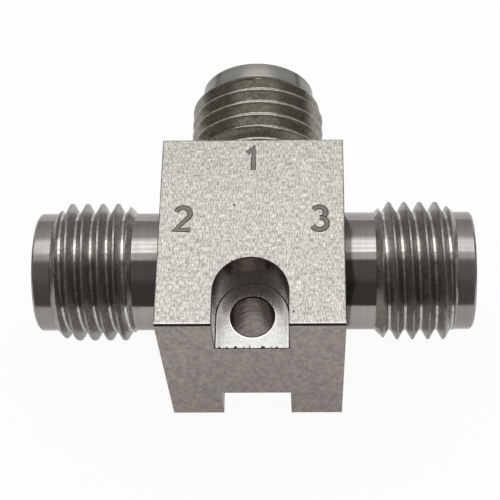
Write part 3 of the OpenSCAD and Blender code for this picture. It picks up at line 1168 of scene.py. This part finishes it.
@dataclass
class Jack:
    """One jack with its shell, bush, bead, contact and glass seal.

    Attributes:
        side: Which jack it is.
        crest_at: Height of a thread crest at the jack's top line, above the block's face.
        face: Distance from the junction to the block's face.
        sizes: The jack's sizes.
        segments: Steps round the axis.
        arc_steps: Steps in each rounded corner of the plain outline.
        crest_steps: Steps in each rounded corner of the thread.
        flank_steps: Steps down each flank.
    """

    side: Side
    crest_at: float
    face: float = 4.0
    sizes: JackSizes = JackSizes()
    segments: int = 192
    arc_steps: int = 3
    crest_steps: int = 6
    flank_steps: int = 9

    def place(self, radius: np.ndarray, height: np.ndarray, angle: np.ndarray) -> np.ndarray:
        """Turns radius, height and angle into places in metres.

        Formula: junction + outward * (face + height) + radius * (up * cos(angle) + side * sin(angle)),
        where side is outward crossed with up, so that angle grows right-handed about outward.

        Args:
            radius: Distance from the jack's axis.
            height: Distance outwards from the block's face.
            angle: Angle from straight up.

        Returns:
            Places, with three coordinates in the last dimension.
        """
        out, up = np.array(self.side.value), np.array((0.0, 0.0, 1.0))
        radial = np.cos(angle)[..., None] * up + np.sin(angle)[..., None] * np.cross(out, up)
        return (np.array(JUNCTION) + (self.face + height)[..., None] * out + radius[..., None] * radial) * MM

    def thread_period(self) -> tuple[np.ndarray, np.ndarray]:
        """One pitch of the thread form.

        Formula: a crest flat of pitch / 8, flanks at 30 degrees to the radius down to a depth of
        0.6134 pitch, and the root flat between them, with all four corners rounded. Four far corners
        close the outline for the rounding and are dropped.

        Returns:
            Offsets from a crest's middle, and the radius at each.
        """
        s = self.sizes
        depth, crest = 0.6134 * s.pitch, s.pitch / 16
        foot, top = crest + depth * math.tan(math.radians(30)), s.thread_d / 2
        far, high = 4 * s.pitch, 9 * top
        form = [(crest, top), (foot, top - depth), (s.pitch - foot, top - depth), (s.pitch - crest, top)]
        radii = [s.crest_round, s.root_round, s.root_round, s.crest_round, 0.0, 0.0, 0.0, 0.0]
        outline = np.array(form + [(far, top), (far, high), (-far, high), (-far, top)])
        n = self.crest_steps + 1
        rounded = fillet(outline, np.array(radii), self.crest_steps)[: 4 * n]
        share = np.linspace(0.0, 1.0, self.flank_steps + 1)[1:-1, None]
        down, up = (rounded[i - 1] + (rounded[i] - rounded[i - 1]) * share for i in (n, 3 * n))
        period = np.concatenate([rounded[:n], down, rounded[n : 3 * n], up, rounded[3 * n :]])
        return period[:, 0], period[:, 1]

    def thread_rows(self, angle: np.ndarray) -> tuple[np.ndarray, np.ndarray]:
        """Radius and height over the threaded part, in rows that follow the helix.

        Formula: a row keeps one offset u from the helix, so its height is u + pitch * angle / turn,
        held between the thread's two ends. The radius is the smaller of the thread form at u and the
        blank, which rises from the neck and falls to the nose at 45 degrees.

        Args:
            angle: Angles of the columns, from 0 to a full turn.

        Returns:
            Radius and height, each with a row for every offset.
        """
        s = self.sizes
        offset, form = self.thread_period()
        low, high = s.neck_l, s.neck_l + s.thread_l
        first = math.floor((low - s.pitch - self.crest_at) / s.pitch) - 1
        turns = np.arange(first, math.ceil((high - self.crest_at) / s.pitch) + 1)
        u = (self.crest_at + turns[:, None] * s.pitch + offset[None, :]).ravel()
        form = np.tile(form, len(turns))
        keep = (u > low - s.pitch) & (u < high)
        edge = np.flatnonzero(keep)
        keep[max(edge[0] - 1, 0)] = keep[min(edge[-1] + 1, len(u) - 1)] = True
        u, form = u[keep], form[keep]
        height = np.clip(u[:, None] + s.pitch * angle[None, :] / math.tau, low, high)
        rise = s.neck_d / 2 + (height - low)
        fall = s.nose_d / 2 + (high - height)
        blank = np.minimum(np.minimum(rise, fall), s.thread_d / 2)
        return np.minimum(form[:, None], blank), height

    def plain_rows(self) -> tuple[np.ndarray, np.ndarray]:
        """Rounded outline of the rest of the shell, before and after the thread.

        Returns:
            Points from the seat out to the end of the neck, and from the nose round the mouth and
            the bore back to the seat, as rows of radius and height.
        """
        s = self.sizes
        plane, back, thread_end = s.length - s.mouth_depth, -s.seat_depth, s.neck_l + s.thread_l
        spigot, neck, nose, mouth = s.spigot_d / 2, s.neck_d / 2, s.nose_d / 2, s.mouth_d / 2
        before = [
            (s.bead_bore_d / 2, back, 0.0),
            (spigot - s.lead_in, back, 0.01),
            (spigot, back + s.lead_in, 0.01),
            (spigot, 0.0, 0.0),
            (neck, 0.0, 0.03),
            (neck, s.neck_l - 0.02, 0.0),
            (neck, s.neck_l, 0.0),
        ]
        after = [
            (nose, thread_end, 0.0),
            (nose, thread_end + 0.02, 0.0),
            (nose, s.length - s.nose_break, 0.05),
            (nose - s.nose_break, s.length, 0.05),
            (mouth + s.mouth_break, s.length, 0.03),
            (mouth, s.length - s.mouth_break, 0.03),
            (mouth, plane, 0.02),
            (s.line_d / 2, plane, 0.03),
            (s.line_d / 2, s.bead_front, 0.0),
            (s.bead_bore_d / 2, s.bead_front, 0.0),
        ]
        outline = np.array(before + after)
        rounded = fillet(outline[:, :2], outline[:, 2], self.arc_steps)
        cut = len(before) * (self.arc_steps + 1)
        return rounded[:cut], rounded[cut:]

    def shell(self, name: str) -> bpy.types.Object:
        """Makes the turned shell with its right-hand thread, as one closed surface.

        Args:
            name: Name of the piece.

        Returns:
            The shell.
        """
        angle = np.linspace(0.0, math.tau, self.segments + 1)
        before, after = self.plain_rows()
        radius, height = self.thread_rows(angle)
        even = np.ones((1, len(angle)))
        radius = np.concatenate([before[:, :1] * even, radius, after[:, :1] * even])
        height = np.concatenate([before[:, 1:] * even, height, after[:, 1:] * even])
        points = self.place(radius, height, np.broadcast_to(angle, radius.shape))
        return closed_surface(name, points.reshape(-1, 3), grid_faces(*radius.shape, closed_rows=True))

    def build(self, nodes: dict[str, bpy.types.Object]) -> bpy.types.Object:
        """Makes the shell and dresses the jack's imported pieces.

        Args:
            nodes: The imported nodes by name.

        Returns:
            The shell.
        """
        name, axis = self.side.name.lower(), self.side.axis()
        shell = self.shell(f"{name}_threaded_shell")
        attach(shell, "root")
        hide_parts(f"{name}_jack_shell")
        SHELL_STEEL[axis].dress(shell)
        worn = {
            "jack_shell": SHELL_STEEL[axis],
            "bush": BUSH_STEEL[axis],
            "support_bead": BEAD_PLASTIC,
            "center_contact": CONTACT_GOLD[axis],
            "seal_ring": SEAL_METAL[axis],
            "seal_glass": SEAL_GLASS,
            "seal_pin": CONTACT_GOLD[axis],
        }
        for part, finish in worn.items():
            finish.dress(nodes[f"{name}_{part}"])
        return shell


# Block


def arc(cx: float, cy: float, rx: float, ry: float, start: float, end: float, steps: int = 14) -> Stroke:
    """Points on an ellipse's arc, from one angle in degrees to another."""
    t = np.radians(np.linspace(start, end, steps))
    return tuple(zip((cx + rx * np.cos(t)).tolist(), (cy + ry * np.sin(t)).tolist()))


# Each numeral is drawn with one stroke or two, in a box one unit high with this middle.
NUMERAL_MIDDLE = (0.31, 0.5)
NUMERALS: dict[str, tuple[Stroke, ...]] = {
    "1": (((0.1, 0.76), (0.34, 0.98), (0.34, 0.0)),),
    "2": ((*arc(0.3, 0.71, 0.27, 0.27, 165, -35), (0.04, 0.02), (0.6, 0.02)),),
    "3": (arc(0.29, 0.745, 0.24, 0.235, 155, -88), arc(0.29, 0.265, 0.28, 0.265, 88, -160)),
}


@dataclass
class PortMark:
    """A plain numeral etched beside a jack.

    Attributes:
        numeral: The figure.
        centre: Its middle on the top face, in millimetres.
        height: Its height, in millimetres.
        width: Width of its strokes, in millimetres.
        stand: How far the etched skin stands over the face, in millimetres.
        mitre: Longest corner, as a share of the stroke's width.
    """

    numeral: str
    centre: tuple[float, float]
    height: float = 1.15
    width: float = 0.24
    stand: float = 0.004
    mitre: float = 1.7

    def ribbon(self, stroke: Stroke, layer: int) -> tuple[np.ndarray, np.ndarray]:
        """A flat strip along a stroke.

        Formula: each point is moved sideways along the mean normal of the two sides that meet
        there, by half the width over the cosine of half their turn, so that corners are mitred.

        Args:
            stroke: The stroke.
            layer: Strokes under it, so that two that cross don't share a height.

        Returns:
            Places across and along the strip, in metres, and the share across for each.
        """
        line = (np.array(stroke) - NUMERAL_MIDDLE) * self.height + self.centre
        along = np.diff(line, axis=0)
        along /= np.linalg.norm(along, axis=1, keepdims=True)
        normal = np.stack([-along[:, 1], along[:, 0]], axis=1)
        first, last = np.vstack([normal[:1], normal]), np.vstack([normal, normal[-1:]])
        mean = (first + last) / np.linalg.norm(first + last, axis=1, keepdims=True)
        reach = 1.0 / np.maximum((mean * last).sum(axis=1), 1.0 / self.mitre)
        share = np.linspace(0.0, 1.0, 5)
        side = (share[None, :, None] - 0.5) * self.width * (mean * reach[:, None])[:, None]
        flat = line[:, None] + side
        high = np.full((*flat.shape[:2], 1), TOP_Z + self.stand * (1 + 0.3 * layer))
        return np.concatenate([flat, high], axis=-1) * MM, np.broadcast_to(share, flat.shape[:2])

    def build(self) -> bpy.types.Object:
        """Makes the numeral as one flat piece with its stroke map.

        Returns:
            The piece.
        """
        grids = [self.ribbon(stroke, layer) for layer, stroke in enumerate(NUMERALS[self.numeral])]
        starts = np.cumsum([0] + [grid.shape[0] * grid.shape[1] for grid, _ in grids])
        faces = [grid_faces(*grid.shape[:2], False, int(start)) for (grid, _), start in zip(grids, starts)]
        points = np.concatenate([grid.reshape(-1, 3) for grid, _ in grids])
        across = np.concatenate([share.ravel() for _, share in grids])
        data = level_mesh(f"port_mark_{self.numeral}", points, np.concatenate(faces))
        corner = np.zeros(len(data.loops), dtype=np.int32)
        data.loops.foreach_get("vertex_index", corner)
        uv = np.zeros((len(corner), 2), dtype=np.float32)
        uv[:, 0] = across[corner]
        data.uv_layers.new(name="stroke").uv.foreach_set("vector", uv.ravel())
        piece = placed(f"port_mark_{self.numeral}", data)
        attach(piece, "root")
        ETCHED_MARK.dress(piece)
        return piece


@dataclass
class Block:
    """The milled block with its port marks, cover and chip.

    Attributes:
        marks: The numerals and their places.
    """

    marks: tuple[PortMark, ...] = (
        PortMark("1", (0.0, 0.55)),
        PortMark("2", (-2.95, -2.45)),
        PortMark("3", (2.95, -2.45)),
    )

    def build(self, nodes: dict[str, bpy.types.Object]) -> list[bpy.types.Object]:
        """Dresses the block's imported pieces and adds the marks.

        Args:
            nodes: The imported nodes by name.

        Returns:
            The new pieces.
        """
        worn = {
            "body_block": BLOCK_STEEL,
            "cover_plate": COVER_STEEL,
            "resistor_substrate": CHIP_CERAMIC,
            "resistor_films": RESISTOR_FILM,
            "conductor_traces": CHIP_GOLD,
        }
        for part, finish in worn.items():
            finish.dress(nodes[part])
        return [mark.build() for mark in self.marks]


# Studio


def aimed(place: Vector, right: Vector, up: Vector, back: Vector) -> Matrix:
    """Where a lamp or camera stands and how it is turned. It looks away from its back."""
    return Matrix.Translation(place) @ Matrix((right, up, back)).transposed().to_4x4()


@dataclass
class Studio:
    """Pale floor, a soft panel overhead, and surroundings that are dark in front.

    Attributes:
        floor_color: Colour of the floor.
        floor_radius: Its radius, in metres.
        floor_z: Its height, in metres, a hair under the feet.
        floor_glow: How far the floor is taken to white where it is looked at.
        floor_mirrored: How far it is taken to white where it is mirrored.
        floor_near: Distance in front and to the sides, in metres, past which metal mirrors a dark
            room and no floor.
        room_light: How bright that room is, and the surroundings in front.
        panel_from: Angle from the front horizon, over the top, where the panel starts.
        panel_to: Angle where it ends.
        panel_away: Distance to the panel, in metres.
        panel_width: Its width from left to right, in metres.
        panel_light: How bright it looks, where 1 is white.
        tubes: Angle of each tube that shines through it, and how much it adds.
    """

    floor_color: Color = (0.97, 0.97, 0.97)
    floor_radius: float = 3.0
    floor_z: float = -0.00002
    floor_glow: float = 0.95
    floor_mirrored: float = 0.62
    floor_near: float = 0.04
    room_light: float = 0.096
    panel_from: float = 99.3
    panel_to: float = 124.5
    panel_away: float = 0.6
    panel_width: float = 0.95
    panel_light: float = 1.7
    tubes: tuple[tuple[float, float], ...] = ((120.8, 0.4), (112.5, 0.75), (102.3, 0.85))

    def floor_material(self) -> bpy.types.Material:
        """White where it is seen, dark where far metal mirrors it, and clear from below.

        Returns:
            The floor's material.
        """
        material = bpy.data.materials.new("floor")
        material.use_nodes = True
        material.node_tree.nodes.clear()
        w = Wiring(material.node_tree)
        camera = w.node("LightPath", out="Is Camera Ray")
        glossy = camera.also("Is Glossy Ray")
        mirrored = w.most(glossy, camera.also("Is Transmission Ray"))
        seen = w.most(camera * self.floor_glow, mirrored * self.floor_mirrored)
        matt = w.node("BsdfDiffuse", {"Color": self.floor_color})
        white = w.node("Emission", {"Color": 1.0, "Strength": 1.0})
        room = w.node("Emission", {"Color": (1.0, 0.95, 0.92), "Strength": self.room_light})
        x, y, _ = w.split(w.node("TexCoord", out="Object"))
        past = w.band(w.most(abs(x), y * -1.0), self.floor_near, self.floor_near + 0.006)
        top = w.node("MixShader", {0: seen, 1: matt, 2: white})
        top = w.node("MixShader", {0: past * glossy, 1: top, 2: room})
        below = w.node("NewGeometry", out="Backfacing")
        both = w.node("MixShader", {0: below, 1: top, 2: w.node("BsdfTransparent")})
        w.node("OutputMaterial", {0: both})
        return material

    def floor(self) -> None:
        """A round flat floor. Its rings widen evenly from the middle."""
        ring, turn = np.linspace(0.0, 1.0, 12) ** 2, np.linspace(0.0, math.tau, 97)
        radius, angle = np.meshgrid(ring * self.floor_radius, turn, indexing="ij")
        level = np.full_like(radius, self.floor_z)
        points = np.stack([radius * np.cos(angle), radius * np.sin(angle), level], axis=-1).reshape(-1, 3)
        floor = placed("floor", level_mesh("floor", points, grid_faces(*radius.shape, closed_rows=False)))
        floor.data.materials.append(self.floor_material())

    def panel(self) -> None:
        """The overhead panel, as wide as its two angles say at its distance."""
        middle = math.radians((self.panel_from + self.panel_to) / 2)
        half = math.radians((self.panel_to - self.panel_from) / 2)
        deep = 2 * self.panel_away * math.tan(half)
        lamp = bpy.data.lights.new("overhead_panel", "AREA")
        lamp.shape, lamp.size, lamp.size_y = "RECTANGLE", self.panel_width, deep
        lamp.energy = self.panel_light * math.pi * self.panel_width * deep
        panel = placed("overhead_panel", lamp)
        towards, across = Vector((0.0, -math.cos(middle), math.sin(middle))), Vector((1.0, 0.0, 0.0))
        panel.matrix_world = aimed(towards * self.panel_away, across, towards.cross(across), towards)

    def world(self) -> None:
        """Surroundings by angle from the front horizon: white below, dark in front, grey behind."""
        world = bpy.data.worlds.new("studio")
        bpy.context.scene.world = world
        world.use_nodes = True
        world.node_tree.nodes.clear()
        w = Wiring(world.node_tree)
        x, y, z = w.split(w.node("TexCoord", out="Generated"))
        angle = w.math("DEGREES", w.math("ARCTAN2", z, y * -1.0))
        front = w.band(angle, -9.0, -6.0, 0.8, self.room_light)
        above = w.band(angle, 34.0, 56.0, 0.0, 0.08)
        shelf = w.band(angle, 82.6, 87.6, 0.0, 0.76) * w.math("LESS_THAN", angle, self.panel_from)
        drop = w.band(angle, self.panel_to + 4.0, self.panel_to + 10.0, 0.72, 0.0)
        drop = drop + w.band(angle, 134.0, 170.0, 0.5, 0.24)
        arch = front + above + shelf + drop * w.math("GREATER_THAN", angle, self.panel_to)
        for tube, light in self.tubes:
            arch = arch + w.band(abs(angle - tube), 2.9, 0.7, 0.0, light)
        side = w.band(angle, -10.0, 0.0, 0.42, 0.0) + w.band(x, -0.5, 0.5, 0.22, 0.34)
        side = w.most(side, w.band(angle, 85.0, 105.0, 0.0, 0.66))
        out = w.band(abs(x), 0.28, 0.62)
        level = arch * (1.0 - out) + side * out
        green, blue = (level * w.band(angle, 55.0, 100.0, low, 1.0) for low in (0.955, 0.93))
        color = w.blend(w.node("LightPath", out="Is Camera Ray"), w.join(level, green, blue), 1.0)
        w.node("OutputWorld", {0: w.node("Background", {"Color": color, "Strength": 1.0})})

    def build(self) -> None:
        """Sets up the floor, the panel and the surroundings."""
        self.floor()
        self.panel()
        self.world()
        bpy.context.scene.view_settings.view_transform = "Standard"


@dataclass(frozen=True)
class PhotoCamera:
    """The photograph's camera, worked out from the block's corners and the jacks' outlines.

    Attributes:
        frame_px: Width and height of the photograph.
        focal_px: Focal length in its pixels.
        centre_px: Where the camera's axis meets it.
        elevation: Angle above the horizon, in degrees.
        yaw: Angle to the right of the front, in degrees.
        roll: Turn about the camera's axis, in degrees.
        slide: Shift of the camera to its right and upwards, in millimetres.
        away: Distance from the junction, in millimetres.
        sensor: Width of the camera's sensor, in millimetres.
    """

    frame_px: float = 500.0
    focal_px: float = 1358.118
    centre_px: tuple[float, float] = (285.0, 215.0)
    elevation: float = 60.511
    yaw: float = 1.8772
    roll: float = -1.9446
    slide: tuple[float, float] = (1.4431, 2.5526)
    away: float = 62.8132
    sensor: float = 36.0

    def build(self) -> None:
        """Makes the camera and sets it as the scene's."""
        el, yaw, roll = (math.radians(a) for a in (self.elevation, self.yaw, self.roll))
        back = Vector((math.sin(yaw) * math.cos(el), -math.cos(yaw) * math.cos(el), math.sin(el)))
        level = Vector((0.0, 0.0, 1.0)).cross(back).normalized()
        rise = back.cross(level)
        right = level * math.cos(roll) + rise * math.sin(roll)
        up = rise * math.cos(roll) - level * math.sin(roll)
        data = bpy.data.cameras.new("photo_camera")
        data.sensor_width = self.sensor
        data.lens = self.focal_px / self.frame_px * self.sensor
        data.shift_x = (self.frame_px / 2 - self.centre_px[0]) / self.frame_px
        data.shift_y = (self.centre_px[1] - self.frame_px / 2) / self.frame_px
        data.clip_start, data.clip_end = 0.005, 20.0
        camera = placed("photo_camera", data)
        place = (Vector(JUNCTION) + back * self.away + level * self.slide[0] + rise * self.slide[1]) * MM
        camera.matrix_world = aimed(place, right, up, back)
        bpy.context.scene.camera = camera


def main() -> None:
    """Loads the frame, builds and dresses the part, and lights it."""
    logging.basicConfig(level=logging.INFO, format="%(name)s: %(message)s")
    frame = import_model()
    PhotoCamera().build()
    Studio().build()
    nodes = frame["nodes"]
    made = Block().build(nodes)
    for side, crest in ((Side.LEFT, 0.103), (Side.RIGHT, 0.149), (Side.REAR, 0.489)):
        made.append(Jack(side, crest_at=crest).build(nodes))
    for piece in made:
        LOG.info("%s: %d faces", piece.name, len(piece.data.polygons))


if __name__ == "__main__":
    main()
